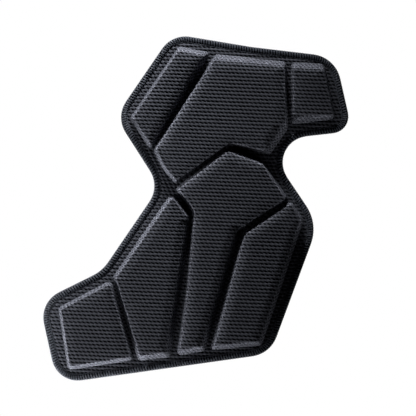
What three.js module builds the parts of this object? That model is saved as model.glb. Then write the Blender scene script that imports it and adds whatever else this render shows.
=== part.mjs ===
// Moulded hip pad of a pair of padded goalkeeper pants, lying on its back with its foam blocks upwards.
// A pressed sheet of foam and knit carries seven raised blocks, and overlocked thread binds its rim.
// Millimetres, +Z up, origin on the ground under the middle of the pad.
import * as THREE from "three";

// Pressed sheet: foam squeezed flat between a mesh knit and a plain knit.
const SHEET_THICKNESS = 3.0;
// Overlocked edge: how far the thread reaches in over each face, and how thick it lies.
const EDGE_BITE = 5.2;
const THREAD_THICKNESS = 0.5;
const EDGE_NOSE = 1.2;
// Blocks: height of the shoulder above the sheet, and of the crowned middle above the shoulder.
const BLOCK_RISE = 7.7;
const BLOCK_CROWN = 1.0;
const CROWN_REACH = 5.0;
// Clearance between neighbouring pieces.
const PIECE_GAP = 0.3;
// Facets of each rounded corner, and of the rounded rim.
const OUTLINE_ARC_STEPS = 8;
const BLOCK_ARC_STEPS = 4;
const NOSE_STEPS = 4;
// Corner radius at a block's shoulder, as a share of the radius at its foot.
const SHOULDER_RADIUS_SHARE = 0.6;

// Outer edge of the pad, anticlockwise. Each row is where two straight stretches would meet, and the
// radius that joins them.
const PAD_OUTLINE = [
  { x: -19.5, y: 138.5, radius: 22.5 }, // top, front corner
  { x: -65, y: 72, radius: 22.5 }, // front tip of the hip lobe
  { x: -29.5, y: 16.5, radius: 22 }, // front of the waist, hollow
  { x: -75.5, y: -51, radius: 32 }, // root of the wing, hollow
  { x: -126, y: -76, radius: 22.5 }, // wing, upper corner
  { x: -111.5, y: -141.5, radius: 21 }, // wing, lower corner
  { x: 59, y: -117.5, radius: 24 }, // thigh lobe, lower corner
  { x: 97.5, y: -13.5, radius: 33.5 }, // back of the thigh lobe
  { x: 53, y: 52.5, radius: 21 }, // back of the waist, hollow
  { x: 124.5, y: 60.5, radius: 13.5 }, // rear tab, lower corner
  { x: 111, y: 120, radius: 25 }, // rear tab, upper corner
  { x: 43.5, y: 128, radius: 150 }, // top edge, faintly hollow
];

// Foot outline of each block, anticlockwise. run is how far the wall that leaves a corner leans in by
// the time it reaches the shoulder, and runEnd the same at the wall's other end where it differs.
const BLOCKS = {
  upper_left_block: [
    { x: -14, y: 128.5, radius: 3, run: 2.0 },
    { x: -53.5, y: 70.5, radius: 3, run: 2.8 },
    { x: -36.5, y: 45, radius: 2, run: 3.0, runEnd: 4.5 },
    { x: 11.5, y: 123.5, radius: 2.5, run: 4.8 },
  ],
  upper_middle_block: [
    { x: 15.5, y: 122.5, radius: 2.5, run: 1.6 },
    { x: -34.5, y: 45.5, radius: 3, run: 2.4 },
    { x: -28, y: 31.5, radius: 40, run: 2.4 },
    { x: -17, y: 18.5, radius: 2, run: 1.2 },
    { x: 26.5, y: 49.5, radius: 11, run: 2.2 },
    { x: 59, y: 41.5, radius: 3, run: 7.0 },
    { x: 73, y: 62, radius: 6, run: 2.0 },
    { x: 71.5, y: 116.5, radius: 3, run: 6.8 },
  ],
  upper_right_block: [
    { x: 75.5, y: 116, radius: 3, run: 1.6 },
    { x: 75.5, y: 65.5, radius: 2.5, run: 8.0, runEnd: 2.4 },
    { x: 110.5, y: 70.5, radius: 3, run: 1.6 },
    { x: 102, y: 114.5, radius: 4, run: 6.8 },
  ],
  centre_block: [
    { x: -17, y: 14.5, radius: 2, run: 2.4 },
    { x: -3, y: -4.5, radius: 9.5, run: 1.6 },
    { x: -8, y: -62, radius: 120, run: 1.6 },
    { x: -16, y: -119.3, radius: 3, run: 5.8 },
    { x: 6.5, y: -115.3, radius: 3, run: 4.4 },
    { x: 35.5, y: -18, radius: 6.5, run: 1.4 },
    { x: 73.5, y: 6.5, radius: 2, run: 2.4 },
    { x: 53, y: 36.5, radius: 5, run: 3.2 },
    { x: 25, y: 47, radius: 5, run: 1.6 },
  ],
  lower_left_block: [
    { x: -20.5, y: 11, radius: 3, run: 2.8 },
    { x: -67, y: -56, radius: 3, run: 2.8 },
    { x: -46.5, y: -123.3, radius: 3, run: 5.4 },
    { x: -21, y: -120.3, radius: 2.5, run: 5.2 },
    { x: -4, y: -9.5, radius: 4, run: 1.4 },
  ],
  lower_right_block: [
    { x: 75.5, y: 5, radius: 3, run: 2.0 },
    { x: 36.5, y: -21, radius: 5, run: 2.6 },
    { x: 10.5, y: -114.8, radius: 2.5, run: 4.6 },
    { x: 52, y: -110.8, radius: 3, run: 3.2 },
    { x: 85.5, y: -10.5, radius: 4, run: 2.0 },
  ],
  wing_block: [
    { x: -68.5, y: -58.5, radius: 3, run: 2.4 },
    { x: -110.5, y: -80.5, radius: 3, run: 2.2 },
    { x: -102.5, y: -130.5, radius: 3, run: 3.6 },
    { x: -50.5, y: -122.5, radius: 2.5, run: 1.2 },
  ],
};

// Levels of a block from its foot to its shoulder: share of the wall's run, and of the rise.
const WALL_LEVELS = [
  { lean: 0.0, lift: 0.0 },
  { lean: 0.45, lift: 0.62 },
  { lean: 0.68, lift: 0.86 },
  { lean: 1.0, lift: 1.0 },
];

// Finishes read from the photograph.
const MESH_KNIT = { color: 0x2b2d33, roughness: 0.8, metalness: 0 };
const EDGE_THREAD = { color: 0x1f2228, roughness: 0.7, metalness: 0 };

// Each edge of an anticlockwise loop: its ends, its direction and its inward side.
function edgesOf(corners) {
  return corners.map((corner, i) => {
    const next = corners[(i + 1) % corners.length];
    const start = new THREE.Vector2(corner.x, corner.y);
    const end = new THREE.Vector2(next.x, next.y);
    const along = end.clone().sub(start).normalize();
    const inward = new THREE.Vector2(-along.y, along.x);
    return { corner, start, end, along, inward };
  });
}

// The same loop with each wall's edge moved in by a share of its run, and by the same inset all round.
function leanIn(corners, lean, inset) {
  const edges = edgesOf(corners).map(({ corner, start, end, inward }) => {
    const { radius, run, runEnd = run } = corner;
    start.addScaledVector(inward, lean * run + inset);
    end.addScaledVector(inward, lean * runEnd + inset);
    return { radius, start, along: end.sub(start).normalize() };
  });
  return edges.map(({ radius, start, along }, i) => {
    const before = edges.at(i - 1);
    const reach = start.clone().sub(before.start).cross(along) / before.along.cross(along);
    const meeting = before.start.clone().addScaledVector(before.along, reach);
    return { x: meeting.x, y: meeting.y, radius };
  });
}

// Points of a loop whose corners are joined by arcs. inset moves the whole loop in as a parallel curve.
function roundedLoop(corners, arcSteps, inset = 0) {
  const edges = edgesOf(corners);
  return edges.flatMap(({ corner, start, along, inward }, i) => {
    const arriving = edges.at(i - 1);
    const turn = Math.atan2(arriving.along.cross(along), arriving.along.dot(along));
    const side = Math.sign(turn);
    const tangentLength = corner.radius * Math.tan(Math.abs(turn) / 2);
    const centre = start.clone()
      .addScaledVector(along, tangentLength)
      .addScaledVector(inward, side * corner.radius);
    const firstAngle = arriving.inward.clone().multiplyScalar(-side).angle();
    const radius = corner.radius - side * inset;
    return Array.from({ length: arcSteps + 1 }, (_, k) => {
      const angle = firstAngle + (turn * k) / arcSteps;
      return new THREE.Vector2(Math.cos(angle), Math.sin(angle)).multiplyScalar(radius).add(centre);
    });
  });
}

// A loop lifted to a height.
function ringAt(loop, z) {
  return loop.map((point) => new THREE.Vector3(point.x, point.y, z));
}

// Closed surface through rings of equal length. It is capped at both ends, or runs back to its first ring.
function skinRings(rings, capped) {
  const count = rings[0].length;
  const index = [];
  const joins = capped ? rings.length - 1 : rings.length;
  for (let k = 0; k < joins; k++) {
    const low = k * count;
    const high = ((k + 1) % rings.length) * count;
    for (let i = 0; i < count; i++) {
      const j = (i + 1) % count;
      index.push(low + i, low + j, high + j, low + i, high + j, high + i);
    }
  }
  if (capped) {
    const last = (rings.length - 1) * count;
    for (const [a, b, c] of THREE.ShapeUtils.triangulateShape(rings[0], [])) {
      index.push(a, c, b);
    }
    for (const [a, b, c] of THREE.ShapeUtils.triangulateShape(rings.at(-1), [])) {
      index.push(last + a, last + b, last + c);
    }
  }
  const geometry = new THREE.BufferGeometry().setFromPoints(rings.flat());
  geometry.setIndex(index);
  geometry.computeVertexNormals();
  return geometry;
}

// Rounded rim between two heights, from below to above: how far in from the edge, and how high.
function rimProfile(edgeInset, bottom, top) {
  const middle = (bottom + top) / 2;
  return Array.from({ length: NOSE_STEPS + 1 }, (_, k) => {
    const angle = Math.PI * (k / NOSE_STEPS - 0.5);
    return {
      inset: edgeInset + EDGE_NOSE * (1 - Math.cos(angle)),
      z: middle + (top - middle) * Math.sin(angle),
    };
  });
}

// Rings of the pad's outline along a profile.
function outlineRings(profile) {
  return profile.map(({ inset, z }) => ringAt(roundedLoop(PAD_OUTLINE, OUTLINE_ARC_STEPS, inset), z));
}

// Sheet of full thickness, stepped down at its rim to leave room for the thread on both faces.
function pressedSheet() {
  const shelf = EDGE_BITE + PIECE_GAP;
  const step = THREAD_THICKNESS + PIECE_GAP;
  return skinRings(
    outlineRings([
      { inset: shelf, z: 0 },
      { inset: shelf, z: step },
      ...rimProfile(step, step, SHEET_THICKNESS - step),
      { inset: shelf, z: SHEET_THICKNESS - step },
      { inset: shelf, z: SHEET_THICKNESS },
    ]),
    true,
  );
}

// Band of overlocked thread, wrapped from one face round the rim to the other.
function overlockEdge() {
  const topInside = SHEET_THICKNESS - THREAD_THICKNESS;
  return skinRings(
    outlineRings([
      { inset: EDGE_BITE, z: 0 },
      ...rimProfile(0, 0, SHEET_THICKNESS),
      { inset: EDGE_BITE, z: SHEET_THICKNESS },
      { inset: EDGE_BITE, z: topInside },
      ...rimProfile(THREAD_THICKNESS, THREAD_THICKNESS, topInside).reverse(),
      { inset: EDGE_BITE, z: THREAD_THICKNESS },
    ]),
    false,
  );
}

// Foam block: sloping walls, a rounded shoulder and a crowned top, seated on the sheet.
function foamBlock(corners) {
  const seat = SHEET_THICKNESS + PIECE_GAP;
  const levels = WALL_LEVELS.map(({ lean, lift }) => ({ lean, inset: 0, z: seat + lift * BLOCK_RISE }));
  levels.push({ lean: 1, inset: CROWN_REACH, z: seat + BLOCK_RISE + BLOCK_CROWN });
  const rings = levels.map(({ lean, inset, z }) => {
    const share = 1 - (1 - SHOULDER_RADIUS_SHARE) * lean;
    const loop = leanIn(corners, lean, inset).map((corner) => ({ ...corner, radius: corner.radius * share }));
    return ringAt(roundedLoop(loop, BLOCK_ARC_STEPS), z);
  });
  return skinRings(rings, true);
}

function addPiece(group, name, geometry, finish) {
  const piece = new THREE.Mesh(geometry, new THREE.MeshStandardMaterial(finish));
  piece.name = name;
  group.add(piece);
}

const pad = new THREE.Group();
addPiece(pad, "pressed_sheet", pressedSheet(), MESH_KNIT);
addPiece(pad, "overlock_edge", overlockEdge(), EDGE_THREAD);
for (const [name, corners] of Object.entries(BLOCKS)) {
  addPiece(pad, name, foamBlock(corners), MESH_KNIT);
}

// The origin goes under the middle of the pad's outline.
const middle = new THREE.Box2()
  .setFromPoints(roundedLoop(PAD_OUTLINE, OUTLINE_ARC_STEPS))
  .getCenter(new THREE.Vector2());
pad.position.set(-middle.x, -middle.y, 0);

export default pad;
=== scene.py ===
import math

import bmesh
import bpy
import numpy as np
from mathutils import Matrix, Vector
from mathutils.bvhtree import BVHTree
from mathutils.kdtree import KDTree


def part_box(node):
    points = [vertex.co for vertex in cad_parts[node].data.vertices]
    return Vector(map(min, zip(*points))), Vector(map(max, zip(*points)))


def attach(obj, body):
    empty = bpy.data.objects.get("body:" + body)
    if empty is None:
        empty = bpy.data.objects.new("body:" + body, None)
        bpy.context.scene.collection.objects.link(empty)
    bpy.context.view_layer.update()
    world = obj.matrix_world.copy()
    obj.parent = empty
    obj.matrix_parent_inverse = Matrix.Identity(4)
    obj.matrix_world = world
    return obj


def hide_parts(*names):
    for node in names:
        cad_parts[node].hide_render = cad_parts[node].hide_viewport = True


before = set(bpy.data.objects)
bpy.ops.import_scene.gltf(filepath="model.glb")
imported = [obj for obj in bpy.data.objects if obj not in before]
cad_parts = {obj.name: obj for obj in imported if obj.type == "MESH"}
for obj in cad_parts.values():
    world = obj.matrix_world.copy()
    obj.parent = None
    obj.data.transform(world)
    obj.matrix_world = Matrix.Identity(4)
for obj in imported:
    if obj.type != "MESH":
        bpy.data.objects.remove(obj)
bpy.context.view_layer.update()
mm = 0.001
scene = bpy.context.scene
padNodes = sorted(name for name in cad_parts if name.endswith("_block"))
print("frame loaded:", len(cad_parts), "solids,", len(padNodes), "of them foam blocks")

# Helpers for meshes


def mergedCopy(nodeName):
    shape = bmesh.new()
    shape.from_mesh(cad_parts[nodeName].data)
    bmesh.ops.remove_doubles(shape, verts=shape.verts, dist=0.001 * mm)  # a CAD mesh is loose triangles
    return shape


def newPiece(pieceName, shape, material):
    mesh = bpy.data.meshes.new(pieceName)
    shape.to_mesh(mesh)
    shape.free()
    mesh.materials.append(material)
    piece = bpy.data.objects.new(pieceName, mesh)
    scene.collection.objects.link(piece)
    return piece


def applyModifiers(piece):
    depsgraph = bpy.context.evaluated_depsgraph_get()
    finished = bpy.data.meshes.new_from_object(piece.evaluated_get(depsgraph))
    piece.modifiers.clear()
    piece.data = finished


def remesh(piece, voxel):
    grid = piece.modifiers.new("grid", "REMESH")
    grid.mode = "VOXEL"
    grid.voxel_size = voxel
    applyModifiers(piece)


def subdivide(piece):
    finer = piece.modifiers.new("finer", "SUBSURF")
    finer.levels = 1
    finer.render_levels = 1
    applyModifiers(piece)


def smooth(piece, passes):
    shape = bmesh.new()
    shape.from_mesh(piece.data)
    for _ in range(passes):
        bmesh.ops.smooth_vert(
            shape, verts=shape.verts, factor=0.5, use_axis_x=True, use_axis_y=True, use_axis_z=True
        )
    shape.to_mesh(piece.data)
    shape.free()


def cutFlat(piece, height, keepTop):
    shape = bmesh.new()
    shape.from_mesh(piece.data)
    everything = shape.verts[:] + shape.edges[:] + shape.faces[:]
    cut = bmesh.ops.bisect_plane(
        shape, geom=everything, plane_co=(0, 0, height), plane_no=(0, 0, 1),
        clear_inner=keepTop, clear_outer=not keepTop,
    )
    rim = [part for part in cut["geom_cut"] if isinstance(part, bmesh.types.BMEdge)]
    for face in shape.faces:
        face.smooth = True
    closing = bmesh.ops.holes_fill(shape, edges=rim, sides=0)  # one flat face closes the cut
    for face in closing["faces"]:
        face.smooth = False
    bmesh.ops.recalc_face_normals(shape, faces=shape.faces)
    shape.to_mesh(piece.data)
    shape.free()


def pointsOf(mesh):
    flat = np.empty(len(mesh.vertices) * 3)
    mesh.vertices.foreach_get("co", flat)
    return flat.reshape(-1, 3)


def normalsOf(mesh):
    flat = np.empty(len(mesh.vertices) * 3)
    mesh.vertex_normals.foreach_get("vector", flat)
    return flat.reshape(-1, 3)


def movePoints(mesh, points):
    mesh.vertices.foreach_set("co", points.ravel())
    mesh.update()


def ease(low, high, value):
    share = np.clip((value - low) / (high - low), 0, 1)
    return share * share * (3 - 2 * share)


def nearestTree(places):
    tree = KDTree(len(places))
    for i, (x, y) in enumerate(places):
        tree.insert((x, y, 0), i)
    tree.balance()
    return tree


def nearestOn(tree, points):
    return np.array([tree.find((x, y, 0))[0][:2] for x, y in points[:, :2]])


def distancesTo(tree, points):
    return np.hypot(*(nearestOn(tree, points) - points[:, :2]).T)


# Helpers for materials


def linearColour(hexText):
    shares = [int(hexText[i:i + 2], 16) / 255 for i in (1, 3, 5)]
    linear = [s / 12.92 if s <= 0.04045 else ((s + 0.055) / 1.055) ** 2.4 for s in shares]
    return (*linear, 1.0)


def addNode(material, kind, inputs, **settings):
    node = material.node_tree.nodes.new(kind)
    for setting, value in settings.items():
        setattr(node, setting, value)
    for socket, value in inputs.items():
        if isinstance(value, bpy.types.NodeSocket):
            material.node_tree.links.new(value, node.inputs[socket])
        else:
            node.inputs[socket].default_value = value
    return node


def newMaterial(materialName):
    material = bpy.data.materials.new(materialName)
    material.use_nodes = True
    material.node_tree.nodes.clear()
    return material


# Camera straight above the pad, far off with a long lens

photoView = {
    "aim": (9.7 * mm, 0.4 * mm),  # what lies under the middle of the picture
    "width": 332.8 * mm,  # what the picture spans
    "distance": 2.2,
    "sensor": 36.0,
}


def addCamera():
    lens = bpy.data.cameras.new("photoCamera")
    lens.sensor_width = photoView["sensor"]
    lens.lens = photoView["sensor"] * photoView["distance"] / photoView["width"]
    lens.clip_end = 20
    camera = bpy.data.objects.new("photoCamera", lens)
    camera.location = (*photoView["aim"], photoView["distance"])
    scene.collection.objects.link(camera)
    scene.camera = camera


# Mesh knit: staggered rows of slanted eyelets, the same cells in the relief and in the colour

knit = {
    "course": 3.4 * mm,  # eyelet to eyelet along a row
    "wale": 2.9 * mm,  # row to row
    "stagger": 0.566,  # share of a course that each row steps to the right
    "rowFall": math.radians(-2.3),  # the cloth lies a little askew on the pad
    "eyeletLong": 1.4 * mm,  # half its length
    "eyeletShort": 0.72 * mm,  # half its width
    "eyeletSlant": math.radians(-26),
    "eyeletEdge": (0.6, 1.2),  # where its rim starts and ends, in half widths
    "eyeletDepth": 0.3 * mm,
    "rowLean": 0.28,  # each loop of a row leans with its eyelet, in rows per course
    "ridgeHeight": 0.06 * mm,
}


def knitCells(cloth):
    along = np.array([math.cos(knit["rowFall"]), math.sin(knit["rowFall"])])
    across = np.array([-along[1], along[0]])
    return np.stack([cloth @ along / knit["course"], cloth @ across / knit["wale"]], axis=1)


def eyeletAxes():
    cosine, sine = math.cos(knit["eyeletSlant"]), math.sin(knit["eyeletSlant"])
    course, wale = knit["course"], knit["wale"]
    longAxis = (course * cosine / knit["eyeletLong"], wale * sine / knit["eyeletLong"])
    shortAxis = (-course * sine / knit["eyeletShort"], wale * cosine / knit["eyeletShort"])
    return longAxis, shortAxis


def knitRelief(cloth):
    cells = knitCells(cloth)
    row = np.floor(cells[:, 1])
    sideways = (cells[:, 0] - row * knit["stagger"]) % 1 - 0.5
    upward = cells[:, 1] - row - 0.5
    reach = [sideways * axis[0] + upward * axis[1] for axis in eyeletAxes()]
    eyelet = 1 - ease(*knit["eyeletEdge"], np.hypot(*reach))
    ridge = -np.cos(2 * math.pi * (upward + knit["rowLean"] * sideways))
    return knit["ridgeHeight"] * ridge - knit["eyeletDepth"] * eyelet


def storeKnit(mesh, cloth, **shares):
    corners = np.empty(len(mesh.loops), dtype=np.int32)
    mesh.loops.foreach_get("vertex_index", corners)
    layer = mesh.uv_layers.new(name="knit")
    layer.data.foreach_set("uv", knitCells(cloth)[corners].astype(np.float32).ravel())
    for shareName, share in shares.items():
        attribute = mesh.attributes.new(shareName, "FLOAT", "POINT")
        attribute.data.foreach_set("value", share.astype(np.float32))


meshKnitLook = {
    "yarnDark": "#1c1e21",
    "yarnLight": "#6c6e75",
    "stretchHighlightDark": "#44464c",  # stretched yarn is paler and flecked, and this paleness is also a painted highlight on walls and edges that face the lights
    "stretchHighlightLight": "#9c9ea7",
    "stitchGapShade": "#0b0c0e",  # crushed under the stitches, and painted near black as the shade between the threads
    "eyelet": "#020203",
    "eyeletClosing": 0.2,  # how far an eyelet closes where the cloth is stretched and painted pale as a highlight
    "furrowShade": (0.1, 1.0),  # where a furrow's painted shade ends and a ridge starts, from row to row
    "fibreSize": 1.0 * mm,  # drawn coarser than a filament, so that it shows
    "fleck": (0.37, 0.63),  # part of the noise that makes a fleck, from dark to pale
    "fibreTone": 0.3,  # how much of the yarn's tone is uneven fibre, and the rest painted furrow shade
    "roughness": 0.75,
    "specular": 0.08,
    "sheen": 0.02,
    "sheenRoughness": 0.4,
    "sheenTint": "#d2d6e0",
    "bumpHeight": 0.12 * mm,
    "fibreShare": 0.35,
}


def makeMeshKnit():
    # Polyester warp knit, heat pressed on foam: matt black yarn with a cool sheen round dark eyelets. Its
    # colour also carries a painted highlight on walls and edges that face the lights, and painted shade in
    # the furrows and under the stitches.
    look = meshKnitLook
    material = newMaterial("polyesterMeshKnit")
    cells = addNode(material, "ShaderNodeUVMap", {}, uv_map="knit").outputs[0]
    parts = addNode(material, "ShaderNodeSeparateXYZ", {0: cells}).outputs
    row = addNode(material, "ShaderNodeMath", {0: parts[1]}, operation="FLOOR").outputs[0]
    stepBack = {0: row, 1: -knit["stagger"], 2: parts[0]}
    stepped = addNode(material, "ShaderNodeMath", stepBack, operation="MULTIPLY_ADD").outputs[0]
    cell = addNode(material, "ShaderNodeCombineXYZ", {0: stepped, 1: parts[1]}).outputs[0]
    cell = addNode(material, "ShaderNodeVectorMath", {0: cell}, operation="FRACTION").outputs[0]
    toMiddle = {0: cell, 1: (0.5, 0.5, 0)}
    cell = addNode(material, "ShaderNodeVectorMath", toMiddle, operation="SUBTRACT").outputs[0]
    reach = addNode(material, "ShaderNodeCombineXYZ", {
        i: addNode(
            material, "ShaderNodeVectorMath", {0: cell, 1: (*axis, 0)}, operation="DOT_PRODUCT"
        ).outputs["Value"]
        for i, axis in enumerate(eyeletAxes())
    }).outputs[0]
    reach = addNode(material, "ShaderNodeVectorMath", {0: reach}, operation="LENGTH").outputs["Value"]
    rimStart, rimEnd = knit["eyeletEdge"]
    rimRange = {"Value": reach, "From Min": rimStart, "From Max": rimEnd, "To Min": 0.0, "To Max": 1.0}
    yarnShare = addNode(
        material, "ShaderNodeMapRange", rimRange, interpolation_type="SMOOTHSTEP"
    ).outputs[0]
    place = addNode(material, "ShaderNodeTexCoord", {}).outputs["Object"]
    fibreNoise = {"Vector": place, "Scale": 1 / look["fibreSize"], "Detail": 2.0}
    fibre = addNode(material, "ShaderNodeTexNoise", fibreNoise).outputs["Fac"]
    fleckStart, fleckEnd = look["fleck"]
    fleckRange = {"Value": fibre, "From Min": fleckStart, "From Max": fleckEnd, "To Min": 0.0, "To Max": 1.0}
    fleck = addNode(material, "ShaderNodeMapRange", fleckRange).outputs[0]
    acrossRow = {0: cell, 1: (2 * knit["rowLean"], 2.0, 0)}
    ridge = addNode(
        material, "ShaderNodeVectorMath", acrossRow, operation="DOT_PRODUCT"
    ).outputs["Value"]
    ridge = addNode(material, "ShaderNodeMath", {0: ridge}, operation="ABSOLUTE").outputs[0]
    furrowEnd, ridgeStart = look["furrowShade"]
    ridgeRange = {
        "Value": ridge, "From Min": furrowEnd, "From Max": ridgeStart, "To Min": 0.0, "To Max": 1.0
    }
    ridge = addNode(
        material, "ShaderNodeMapRange", ridgeRange, interpolation_type="SMOOTHSTEP"
    ).outputs[0]
    # painted shade: the yarn is darker in each row's furrow, where the relief sinks
    toneShares = {0: look["fibreTone"], 2: ridge, 3: fleck}
    tone = addNode(material, "ShaderNodeMix", toneShares).outputs[0]
    yarnTones = {0: tone, 6: linearColour(look["yarnDark"]), 7: linearColour(look["yarnLight"])}
    yarn = addNode(material, "ShaderNodeMix", yarnTones, data_type="RGBA").outputs[2]
    # stretched cloth is paler, and the same share paints a highlight on the walls and edges that face the
    # lights
    stretchHighlightShare = addNode(material, "ShaderNodeAttribute", {}, attribute_name="stretch").outputs["Fac"]
    fleckTones = {0: fleck, 6: linearColour(look["stretchHighlightDark"]), 7: linearColour(look["stretchHighlightLight"])}
    stretchHighlightYarn = addNode(material, "ShaderNodeMix", fleckTones, data_type="RGBA").outputs[2]
    stretchHighlightTones = {0: stretchHighlightShare, 6: yarn, 7: stretchHighlightYarn}
    yarn = addNode(material, "ShaderNodeMix", stretchHighlightTones, data_type="RGBA").outputs[2]
    closing = {0: stretchHighlightShare, 1: look["eyeletClosing"], 2: yarnShare}
    yarnShare = addNode(
        material, "ShaderNodeMath", closing, operation="MULTIPLY_ADD", use_clamp=True
    ).outputs[0]
    clothTones = {0: yarnShare, 6: linearColour(look["eyelet"]), 7: yarn}
    colour = addNode(material, "ShaderNodeMix", clothTones, data_type="RGBA").outputs[2]
    # painted shade: near black where the threads shade the crushed cloth between them
    pressed = addNode(material, "ShaderNodeAttribute", {}, attribute_name="press").outputs["Fac"]
    pressedTones = {0: pressed, 6: colour, 7: linearColour(look["stitchGapShade"])}
    colour = addNode(material, "ShaderNodeMix", pressedTones, data_type="RGBA").outputs[2]
    raised = {0: fibre, 1: look["fibreShare"], 2: yarnShare}
    height = addNode(material, "ShaderNodeMath", raised, operation="MULTIPLY_ADD").outputs[0]
    bump = addNode(material, "ShaderNodeBump", {"Distance": look["bumpHeight"], "Height": height})
    surface = addNode(material, "ShaderNodeBsdfPrincipled", {
        "Base Color": colour,
        "Roughness": look["roughness"],
        "Specular IOR Level": look["specular"],
        "Sheen Weight": look["sheen"],
        "Sheen Roughness": look["sheenRoughness"],
        "Sheen Tint": linearColour(look["sheenTint"]),
        "Normal": bump.outputs[0],
    })
    addNode(material, "ShaderNodeOutputMaterial", {"Surface": surface.outputs[0]})
    return material


# Plain knit on the back, and the thread of the overlocked edge

backKnitLook = {
    "yarnDark": "#17181b",
    "yarnLight": "#2f3136",
    "wale": 1.5 * mm,  # twice a real jersey rib, so that it shows
    "course": 1.1 * mm,
    "waver": 0.6,  # how uneven the ribs are
    "roughness": 0.85,
    "sheen": 0.2,
    "sheenTint": "#c9cfe0",
    "bumpHeight": 0.15 * mm,
}


def makeBackKnit():
    # Brushed polyester jersey: fine ribs of small loops, dull and a little fuzzy.
    look = backKnitLook
    material = newMaterial("polyesterJersey")
    place = addNode(material, "ShaderNodeTexCoord", {}).outputs["Object"]
    bandSpacing = math.pi * 2 / 20  # of a wave texture at scale 1
    bands = []
    for spacing, direction in ((look["wale"], "X"), (look["course"], "Y")):
        wave = {"Vector": place, "Scale": bandSpacing / spacing, "Distortion": look["waver"], "Detail": 1.0}
        bands.append(addNode(material, "ShaderNodeTexWave", wave, bands_direction=direction).outputs["Fac"])
    rib, loop = bands
    raised = addNode(material, "ShaderNodeMath", {0: rib, 1: loop}, operation="MULTIPLY").outputs[0]
    tones = {0: raised, 6: linearColour(look["yarnDark"]), 7: linearColour(look["yarnLight"])}
    colour = addNode(material, "ShaderNodeMix", tones, data_type="RGBA").outputs[2]
    bump = addNode(material, "ShaderNodeBump", {"Distance": look["bumpHeight"], "Height": raised})
    surface = addNode(material, "ShaderNodeBsdfPrincipled", {
        "Base Color": colour,
        "Roughness": look["roughness"],
        "Sheen Weight": look["sheen"],
        "Sheen Tint": linearColour(look["sheenTint"]),
        "Normal": bump.outputs[0],
    })
    addNode(material, "ShaderNodeOutputMaterial", {"Surface": surface.outputs[0]})
    return material


threadLook = {
    "dark": "#33373d",
    "light": "#666b74",
    "fibreSize": 0.7 * mm,
    "roughness": 0.55,
    "sheen": 0.2,
    "sheenTint": "#c9d3e4",
    "bumpHeight": 0.05 * mm,
}


def makeThread():
    # Textured polyester overlock thread: soft twisted filaments with a faint gloss.
    look = threadLook
    material = newMaterial("polyesterThread")
    place = addNode(material, "ShaderNodeTexCoord", {}).outputs["Object"]
    fibreNoise = {"Vector": place, "Scale": 1 / look["fibreSize"], "Detail": 3.0}
    fibre = addNode(material, "ShaderNodeTexNoise", fibreNoise).outputs["Fac"]
    tones = {0: fibre, 6: linearColour(look["dark"]), 7: linearColour(look["light"])}
    colour = addNode(material, "ShaderNodeMix", tones, data_type="RGBA").outputs[2]
    bump = addNode(material, "ShaderNodeBump", {"Distance": look["bumpHeight"], "Height": fibre})
    surface = addNode(material, "ShaderNodeBsdfPrincipled", {
        "Base Color": colour,
        "Roughness": look["roughness"],
        "Sheen Weight": look["sheen"],
        "Sheen Tint": linearColour(look["sheenTint"]),
        "Normal": bump.outputs[0],
    })
    addNode(material, "ShaderNodeOutputMaterial", {"Surface": surface.outputs[0]})
    return material


# Foam blocks, each under its own stretch of mesh knit

pad = {
    "voxel": 1.0 * mm,
    "footStep": 0.25 * mm,
    "footBend": 0.5,  # least angle, in radians, between the flat underside and a wall
    "outerReach": 2.4 * mm,  # how far in from the foot a shoulder is rounded, on a wall along the rim
    "farReach": 1.4 * mm,  # on a wall along a groove that faces off the near side
    "nearReach": 3.4 * mm,  # on a wall along a groove that faces the near side
    "leeReach": 4.5 * mm,  # on a wall that faces the lee side, which the press rolled over softly
    "nearSide": (-0.4, 0.917),  # up the pad and a little to the left, towards the lights
    "nearTurn": (0.1, 0.7),  # cosines of the turn from it, where a wall starts and is fully near
    "leeSide": (0.927, -0.375),  # to the right and a little down, away from the lights
    "leeTurn": (0.90, 0.97),
    "rimReach": (13 * mm, 20 * mm),  # how far from the rim the outer shoulders give way to the others
    "roundingPasses": 1,
    "root": 1.4 * mm,  # the foot runs down into the sheet before it is cut
    "seat": 2.8 * mm,
    "flareTop": 4.6 * mm,  # below this the foot spreads on to the sheet
    "flare": 0.5 * mm,
    "crown": 1.0 * mm,  # height of the crowned top over the shoulder
    "crownNear": 0.9,  # share of the crown that the pressed cloth leaves on the near side
    "crownFar": 0.15,
    "crownBlend": 2.0 * mm,  # how far down the wall a flatter crown is made up for
    "domeOuter": 0.2 * mm,  # how far the top falls away towards an edge along the rim
    "domeLee": 0.25 * mm,  # towards an edge on the lee side
    "domeFar": 0.5 * mm,  # towards a groove, on the far side
    "domeNear": 0.75 * mm,  # and on the near side
    "domeBlur": 40,  # passes that even out the fall where two sides meet
    "domeReach": 10.0 * mm,
    "clothPull": 0.7,  # share of the wall's height that the cloth follows
    "reliefStart": 1.2 * mm,  # height over the seat where the knit has its full relief
    "wallStretchHighlight": (0.2, 0.75),  # slopes, as sines, where the cloth starts to stretch and is stretched, and is painted paler there as a highlight
    "upright": (0.8, 0.97),  # slopes of a wall that stands upright
    "edgeStretchHighlight": 0.8,  # close to an edge the top is paler too, as stretched cloth and as a painted highlight, fully on the near side, which faces the lights
    "edgeStart": 0.5 * mm,
    "edgeNear": 6.0 * mm,  # where that ends on the near side of a groove
    "edgeFar": 3.0 * mm,  # and everywhere else
    "uprightFade": 0.5,  # share of the stretch paleness and painted highlight taken off where a wall stands upright
    "fill": 0.9,
}


def footTree(shape, footHeight):
    foot = []
    for edge in shape.edges:
        ends = [vert.co for vert in edge.verts]
        level = max(end.z for end in ends) < footHeight + 0.01 * mm
        if level and edge.calc_face_angle() > pad["footBend"]:
            count = max(1, round(edge.calc_length() / pad["footStep"]))
            foot += [ends[0].lerp(ends[1], k / count) for k in range(count + 1)]
    return nearestTree([(x, y) for x, y, z in foot])


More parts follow.
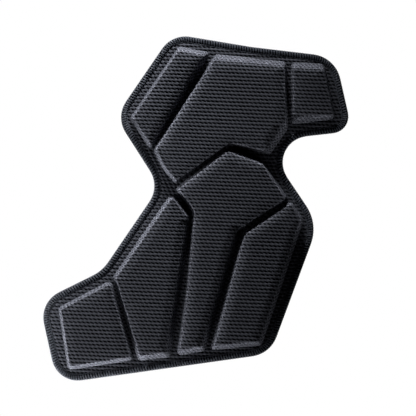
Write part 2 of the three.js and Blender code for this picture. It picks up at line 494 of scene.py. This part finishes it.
def sideOf(tree, rimTree, points):
    toFoot = nearestOn(tree, points) - points[:, :2]
    distance = np.hypot(*toFoot.T)
    toFoot /= np.maximum(distance, 0.1 * mm)[:, None]
    near = ease(*pad["nearTurn"], toFoot @ np.array(pad["nearSide"]))
    lee = ease(*pad["leeTurn"], toFoot @ np.array(pad["leeSide"]))
    inner = ease(*pad["rimReach"], distancesTo(rimTree, points))
    return distance, near, lee, inner


def roundShoulders(mesh, tree, rimTree, low, high):
    points = pointsOf(mesh)
    distance, near, lee, inner = sideOf(tree, rimTree, points)
    grooveReach = pad["farReach"] + (pad["nearReach"] - pad["farReach"]) * near
    reach = pad["outerReach"] + (grooveReach - pad["outerReach"]) * inner
    reach += (pad["leeReach"] - reach) * lee
    inset = np.minimum(distance / reach, 1)
    pillow = low.z + (high.z - low.z) * np.sqrt(1 - (1 - inset) ** 2)
    upper = points[:, 2] > low.z
    points[upper, 2] = np.minimum(points[upper, 2], pillow[upper])
    movePoints(mesh, points)


def blurOver(mesh, values, passes):
    ends = np.empty(len(mesh.edges) * 2, dtype=np.int32)
    mesh.edges.foreach_get("vertices", ends)
    first, second = ends.reshape(-1, 2).T
    count = len(mesh.vertices)
    links = np.bincount(ends, minlength=count)
    for _ in range(passes):
        around = np.bincount(first, values[second], count) + np.bincount(second, values[first], count)
        values = (values + around / np.maximum(links, 1)) / 2
    return values


def makePad(nodeName, rimTree, material):
    low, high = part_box(nodeName)
    shape = mergedCopy(nodeName)
    tree = footTree(shape, low.z)
    for vert in shape.verts:
        if vert.co.z < low.z + 0.01 * mm:
            vert.co.z = pad["root"]
    piece = newPiece(nodeName.replace("_block", "_pad"), shape, material)
    remesh(piece, pad["voxel"])
    roundShoulders(piece.data, tree, rimTree, low, high)
    smooth(piece, pad["roundingPasses"])
    subdivide(piece)
    mesh = piece.data
    points, normals = pointsOf(mesh), normalsOf(mesh)
    level = np.hypot(normals[:, 0], normals[:, 1])
    outward = normals[:, :2] / np.maximum(level, 0.05)[:, None]
    shoulder = high.z - pad["crown"]
    distance, near, lee, inner = sideOf(tree, rimTree, points)
    crownShare = pad["crownFar"] + (pad["crownNear"] - pad["crownFar"]) * np.maximum(near, lee)
    lifted = (1 - crownShare) * ease(shoulder - pad["crownBlend"], shoulder, points[:, 2])
    points[:, 2] += lifted * np.maximum(high.z - points[:, 2], 0)
    top = ease(shoulder - pad["crownBlend"], shoulder, points[:, 2])
    grooveDome = pad["domeFar"] + (pad["domeNear"] - pad["domeFar"]) * near
    dome = pad["domeOuter"] + (grooveDome - pad["domeOuter"]) * inner
    dome += (pad["domeLee"] - dome) * lee
    fall = blurOver(mesh, dome * (1 - ease(0, pad["domeReach"], distance)), pad["domeBlur"])
    points[:, 2] -= fall * top
    spread = np.clip((pad["flareTop"] - points[:, 2]) / (pad["flareTop"] - pad["seat"]), 0, 1) ** 2
    points[:, :2] += outward * (spread * pad["flare"])[:, None]
    depth = np.maximum(shoulder - points[:, 2], 0)
    cloth = points[:, :2] + outward * (pad["clothPull"] * depth)[:, None]
    # Painted highlight with the stretch: paler cloth on sloping walls and close to an edge, most on the near
    # side, which faces the lights, none on the lee side, which faces away, and less on upright walls.
    edgeEnd = pad["edgeFar"] + (pad["edgeNear"] - pad["edgeFar"]) * near * inner
    edgeHighlightPull = pad["edgeStretchHighlight"] + (1 - pad["edgeStretchHighlight"]) * near * inner
    edge = edgeHighlightPull * (1 - lee) * (1 - ease(pad["edgeStart"], edgeEnd, distance))
    stretch = np.maximum(ease(*pad["wallStretchHighlight"], level), edge)
    stretch *= 1 - pad["uprightFade"] * ease(*pad["upright"], level)
    storeKnit(mesh, cloth, stretch=stretch)
    share = ease(0, pad["reliefStart"], points[:, 2] - pad["seat"])
    points += normals * (knitRelief(cloth) * share)[:, None]
    movePoints(mesh, points)
    cutFlat(piece, pad["seat"], keepTop=True)
    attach(piece, "root")
    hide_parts(nodeName)
    return piece


# Rim of the pad, read from the solid of the overlocked edge

overlock = {
    "stitch": 2.1 * mm,
    "railStep": 0.5 * mm,
    "railSmoothing": 12,
    "slant": 0.45,  # how far a bar runs on along the rim from its inner to its outer end, in stitches
    "bite": 5.0 * mm,
    "radius": 0.3 * mm,
}


def rimRail():
    shape = mergedCopy("overlock_edge")
    low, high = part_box("overlock_edge")
    middle = (low.z + high.z) / 2
    ring = [vert for vert in shape.verts if abs(vert.co.z - middle) < 0.01 * mm]
    first = max(ring, key=lambda vert: vert.co.x)  # the outer of the two rings at this height
    loop, ringSet = [first], set(ring)
    while True:
        ahead = [e.other_vert(loop[-1]) for e in loop[-1].link_edges]
        ahead = [v for v in ahead if v in ringSet and v not in loop[-2:]]
        if not ahead or ahead[0] is first:
            break
        loop.append(ahead[0])
    corners = np.array([vert.co.xy for vert in loop])
    shape.free()
    area = np.sum(corners[:, 0] * np.roll(corners[:, 1], -1) - corners[:, 1] * np.roll(corners[:, 0], -1))
    if area < 0:
        corners = corners[::-1]
    closed = np.vstack([corners, corners[:1]])
    travel = np.concatenate([[0], np.cumsum(np.hypot(*np.diff(closed, axis=0).T))])
    count = int(travel[-1] / overlock["railStep"])
    steps = np.arange(count) * travel[-1] / count
    points = np.stack([np.interp(steps, travel, closed[:, i]) for i in (0, 1)], axis=1)
    for _ in range(overlock["railSmoothing"]):
        points = (np.roll(points, 1, 0) + 2 * points + np.roll(points, -1, 0)) / 4
    tangent = np.roll(points, -1, 0) - np.roll(points, 1, 0)
    tangent /= np.hypot(*tangent.T)[:, None]
    return {
        "length": travel[-1],
        "steps": np.append(steps, travel[-1]),
        "points": np.vstack([points, points[:1]]),
        "inward": np.vstack([np.stack([-tangent[:, 1], tangent[:, 0]], axis=1)] * 2)[: count + 1],
    }


def onRail(rail, travel, inset):
    travel = travel % rail["length"]
    place = [np.interp(travel, rail["steps"], rail["points"][:, i]) for i in (0, 1)]
    inward = [np.interp(travel, rail["steps"], rail["inward"][:, i]) for i in (0, 1)]
    return np.stack([place[i] + inset * inward[i] for i in (0, 1)], axis=1)


# One stitch of each thread: share of a stitch along the rim, inset and height in millimetres
upperLooperPath = [
    (0.04, 4.75, 2.3), (0.00, 4.2, 2.85), (0.00, 3.0, 3.05), (0.00, 1.7, 2.95), (0.00, 0.9, 2.65),
    (0.00, 0.35, 2.1), (0.02, 0.25, 1.4), (0.13, 0.5, 0.8), (0.24, 0.25, 1.4), (0.26, 0.35, 2.1),
    (0.26, 0.9, 2.65), (0.26, 1.7, 2.95), (0.26, 3.0, 3.05), (0.26, 4.2, 2.85), (0.30, 4.75, 2.3),
    (0.66, 4.85, 2.2),
]
lowerLooperPath = [
    (0.04, 4.75, 0.7), (0.00, 4.2, 0.15), (0.00, 3.0, -0.02), (0.00, 1.7, 0.05), (0.00, 0.9, 0.4),
    (0.02, 0.3, 1.0), (0.16, 0.2, 1.45), (0.30, 0.3, 1.0), (0.32, 0.9, 0.4), (0.32, 1.7, 0.05),
    (0.32, 3.0, -0.02), (0.32, 4.2, 0.15), (0.36, 4.75, 0.7), (0.66, 4.85, 0.8),
]
needlePath = [
    (0.00, 5.0, 1.9), (0.14, 5.0, 2.35), (0.38, 5.0, 2.5), (0.62, 5.0, 2.5), (0.86, 5.0, 2.35),
]
purlPath = [(0.00, 0.45, 1.9), (0.25, 0.35, 1.45), (0.50, 0.45, 1.1), (0.75, 0.35, 1.45)]

threadEnd = [  # a loose end in a narrow V beside the needle line: x, y and height in millimetres
    (-41.4, -123.6, 2.8), (-41.2, -124.0, 3.6), (-40.2, -126.6, 3.5), (-39.6, -126.6, 3.5),
    (-38.6, -124.0, 3.6), (-38.4, -123.6, 2.8),
]


def threadAlong(pieceName, route, closed, material):
    curve = bpy.data.curves.new(pieceName, "CURVE")
    curve.dimensions = "3D"
    curve.bevel_depth = overlock["radius"]
    curve.bevel_resolution = 1
    curve.use_fill_caps = True
    spline = curve.splines.new("POLY")
    spline.points.add(len(route) - 1)
    places = np.column_stack([route, np.ones(len(route))])
    spline.points.foreach_set("co", places.astype(np.float32).ravel())
    spline.use_cyclic_u = closed
    guide = bpy.data.objects.new(pieceName + "Route", curve)
    scene.collection.objects.link(guide)
    bpy.context.view_layer.update()
    mesh = bpy.data.meshes.new_from_object(guide.evaluated_get(bpy.context.evaluated_depsgraph_get()))
    bpy.data.objects.remove(guide)
    mesh.materials.clear()
    mesh.materials.append(material)
    mesh.polygons.foreach_set("use_smooth", np.ones(len(mesh.polygons), dtype=bool))
    piece = bpy.data.objects.new(pieceName, mesh)
    scene.collection.objects.link(piece)
    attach(piece, "root")
    return piece


def makeThreadPiece(pieceName, rail, path, material):
    count = round(rail["length"] / overlock["stitch"])
    stitch = rail["length"] / count
    steps = np.array(path)
    index = np.arange(count)
    lean = overlock["slant"] * (1 - steps[:, 1] * mm / overlock["bite"])
    travel = ((index[:, None] + steps[None, :, 0] + lean[None, :]) * stitch).ravel()
    inset = np.tile(steps[:, 1] * mm, count)
    height = np.tile(steps[:, 2] * mm, count)
    place = onRail(rail, travel, inset)
    return threadAlong(pieceName, np.column_stack([place, height]), True, material)


# Pressed sheet: mesh knit on its face, plain knit on its back

sheet = {
    "outlineStep": 4,  # every fourth point of the rail
    "rimInset": 0.2 * mm,  # and smoothing draws it in more, inside the threads that wrap it
    "voxel": 1.1 * mm,
    "smoothing": 3,
    "split": 1.5 * mm,  # where the two faces are laminated
    "groove": (5.0 * mm, 1.1 * mm, 0.42),  # drawn in along the needle line: inset, half width and share
    "rimDraw": (7.5 * mm, 4.0 * mm, 0.3),  # squeezed by the loopers: where it starts, ends and its share
    "pressed": (4.4 * mm, 5.4 * mm),  # cloth crushed under the stitches, flattened and painted near black as shade between the threads, ends between these insets
    "hidden": 1.5 * mm,  # how far inside a block's foot the face is left plain
    "lookUp": 5 * mm,  # how far up a block is looked for
    "faceTurn": (0.3, 0.8),  # upward share of the normal where the relief starts and is full
    "frontFill": 0.2,
    "backFill": 0.1,
}


def blocksAbove(points):
    corners, faces = [], []
    for name in padNodes:
        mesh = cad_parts[name].data
        faces += [[len(corners) + i for i in face.vertices] for face in mesh.polygons]
        corners += [vert.co.copy() for vert in mesh.vertices]
    tree = BVHTree.FromPolygons(corners, faces)
    reach = sheet["hidden"]
    probes = [Vector((x, y, 0)) for x, y in ((reach, 0), (-reach, 0), (0, reach), (0, -reach))]
    up = Vector((0, 0, 1))
    return np.array([
        z > sheet["split"]
        and all(tree.ray_cast(Vector((x, y, z)) + probe, up, sheet["lookUp"])[0] for probe in probes)
        for x, y, z in points
    ])


def joinHiddenFaces(piece, hidden):
    shape = bmesh.new()
    shape.from_mesh(piece.data)
    shape.verts.ensure_lookup_table()
    covered = [face for face in shape.faces if all(hidden[vert.index] for vert in face.verts)]
    bmesh.ops.dissolve_faces(shape, faces=covered, use_verts=True)
    shape.to_mesh(piece.data)
    shape.free()


def makeSlab(rail, material):
    shape = bmesh.new()
    outline = onRail(rail, rail["steps"][:-1:sheet["outlineStep"]], sheet["rimInset"])
    underside = shape.faces.new([shape.verts.new((x, y, 0)) for x, y in outline])
    raised = bmesh.ops.extrude_face_region(shape, geom=[underside])
    lifted = [part for part in raised["geom"] if isinstance(part, bmesh.types.BMVert)]
    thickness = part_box("pressed_sheet")[1].z
    bmesh.ops.translate(shape, verts=lifted, vec=(0, 0, thickness))
    bmesh.ops.recalc_face_normals(shape, faces=shape.faces)
    slab = newPiece("front_knit", shape, material)
    remesh(slab, sheet["voxel"])
    smooth(slab, sheet["smoothing"])
    return slab


def squeezeRim(mesh, inset):
    points = pointsOf(mesh)
    middle, halfWidth, grooveShare = sheet["groove"]
    drawStart, drawEnd, drawShare = sheet["rimDraw"]
    groove = grooveShare * np.exp(-(((inset - middle) / halfWidth) ** 2))
    draw = drawShare * ease(0, 1, (drawStart - inset) / (drawStart - drawEnd))
    points[:, 2] = sheet["split"] + (points[:, 2] - sheet["split"]) * (1 - np.maximum(groove, draw))
    movePoints(mesh, points)


def makeSheet(rail, rimTree, frontMaterial, backMaterial):
    front = makeSlab(rail, frontMaterial)
    squeezeRim(front.data, distancesTo(rimTree, pointsOf(front.data)))
    back = bpy.data.objects.new("back_knit", front.data.copy())
    scene.collection.objects.link(back)
    back.data.materials.clear()
    back.data.materials.append(backMaterial)
    cutFlat(back, sheet["split"], keepTop=False)
    subdivide(front)
    mesh = front.data
    points, normals = pointsOf(mesh), normalsOf(mesh)
    hidden = blocksAbove(points)
    # the cloth under the stitches is flattened, and painted near black as the shade between the threads
    press = 1 - ease(*sheet["pressed"], distancesTo(rimTree, points))
    storeKnit(mesh, points[:, :2], press=press)
    face = ease(*sheet["faceTurn"], normals[:, 2]) * (1 - press) * ~hidden
    points += normals * (knitRelief(points[:, :2]) * face)[:, None]
    movePoints(mesh, points)
    joinHiddenFaces(front, hidden)
    cutFlat(front, sheet["split"], keepTop=True)
    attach(front, "root")
    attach(back, "root")
    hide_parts("pressed_sheet")
    return front, back


# White floor, white surroundings, low strip lights round the pad and one small panel above

studio = {
    "floorSize": 4.0,
    "floorHeight": -0.4 * mm,  # just under the lowest thread
    "floorTone": "#ffffff",
    "strips": {  # middle of each strip, its length and width, where it points, its beam and its watts
        "topStrip": ((-0.11, 0.50, 0.10), (0.30, 0.04), (-0.12, -0.05, 0.01), 64, 0.74),
        "leftStrip": ((-0.28, -0.12, 0.04), (0.20, 0.03), (-0.05, 0.0, 0.01), 80, 0.024),
        "cornerStrip": ((-0.27, -0.12, 0.034), (0.10, 0.02), (-0.08, -0.09, 0.01), 50, 0.024),
        "wingStrip": ((-0.13, -0.22, 0.014), (0.20, 0.014), (-0.05, 0.0, 0.01), 80, 0.12),
        "farStrip": ((0.12, -0.34, 0.025), (0.20, 0.02), (-0.05, 0.0, 0.01), 80, 0.026),
        "waistStrip": ((-0.15, -0.03, 0.02), (0.06, 0.02), (-0.025, 0.028, 0.01), 46, 0.015),
        "tabStrip": ((0.14, -0.06, 0.03), (0.06, 0.02), (0.09, 0.068, 0.01), 50, 0.005),
        "abovePanel": ((-0.25, -0.20, 0.35), (0.20, 0.10), (-0.08, -0.06, 0.01), 50, 0.006),
    },
    "lightTint": "#f8f9ff",
}


def addLight(lightName, place, size, aim, beam, power):
    lamp = bpy.data.lights.new(lightName, "AREA")
    lamp.shape = "RECTANGLE"
    lamp.size, lamp.size_y = size
    lamp.energy = power
    lamp.spread = math.radians(beam)
    lamp.color = linearColour(studio["lightTint"])[:3]
    light = bpy.data.objects.new(lightName, lamp)
    light.location = place
    light.rotation_euler = (Vector(aim) - Vector(place)).to_track_quat("-Z", "Y").to_euler()
    light.visible_camera = False
    scene.collection.objects.link(light)


def addStudio():
    shape = bmesh.new()
    bmesh.ops.create_grid(shape, x_segments=1, y_segments=1, size=studio["floorSize"] / 2)
    paint = newMaterial("whiteStudioPaint")
    evenGlow = {"Color": linearColour(studio["floorTone"]), "Strength": 1.0}
    glow = addNode(paint, "ShaderNodeEmission", evenGlow)
    addNode(paint, "ShaderNodeOutputMaterial", {"Surface": glow.outputs[0]})
    bmesh.ops.translate(shape, verts=shape.verts, vec=(0, 0, studio["floorHeight"]))
    floor = newPiece("studio_floor", shape, paint)
    floor.visible_diffuse = False
    floor.visible_glossy = False
    world = bpy.data.worlds.new("whiteStudio")
    world.use_nodes = True
    world.node_tree.nodes["Background"].inputs[0].default_value = linearColour(studio["floorTone"])
    world.cycles_visibility.diffuse = False
    world.cycles_visibility.glossy = False
    scene.world = world
    for lightName, setting in studio["strips"].items():
        addLight(lightName, *setting)
    scene.view_settings.view_transform = "Standard"


addCamera()
addStudio()
meshKnit = makeMeshKnit()
backKnit = makeBackKnit()
thread = makeThread()
print("camera, studio and materials made")

rail = rimRail()
rimTree = nearestTree(rail["points"])
for nodeName in padNodes:
    made = makePad(nodeName, rimTree, meshKnit)
    print(made.name, len(made.data.polygons), "faces")

front, back = makeSheet(rail, rimTree, meshKnit, backKnit)
print("sheet made:", len(front.data.polygons), "and", len(back.data.polygons), "faces")

upperLooper = makeThreadPiece("upper_looper_thread", rail, upperLooperPath, thread)
makeThreadPiece("lower_looper_thread", rail, lowerLooperPath, thread)
makeThreadPiece("needle_thread", rail, needlePath, thread)
makeThreadPiece("rim_purl_thread", rail, purlPath, thread)
threadAlong("loose_thread_end", np.array(threadEnd) * mm, False, thread)
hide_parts("overlock_edge")
print("overlocked edge made:", round(rail["length"] / overlock["stitch"]), "stitches")
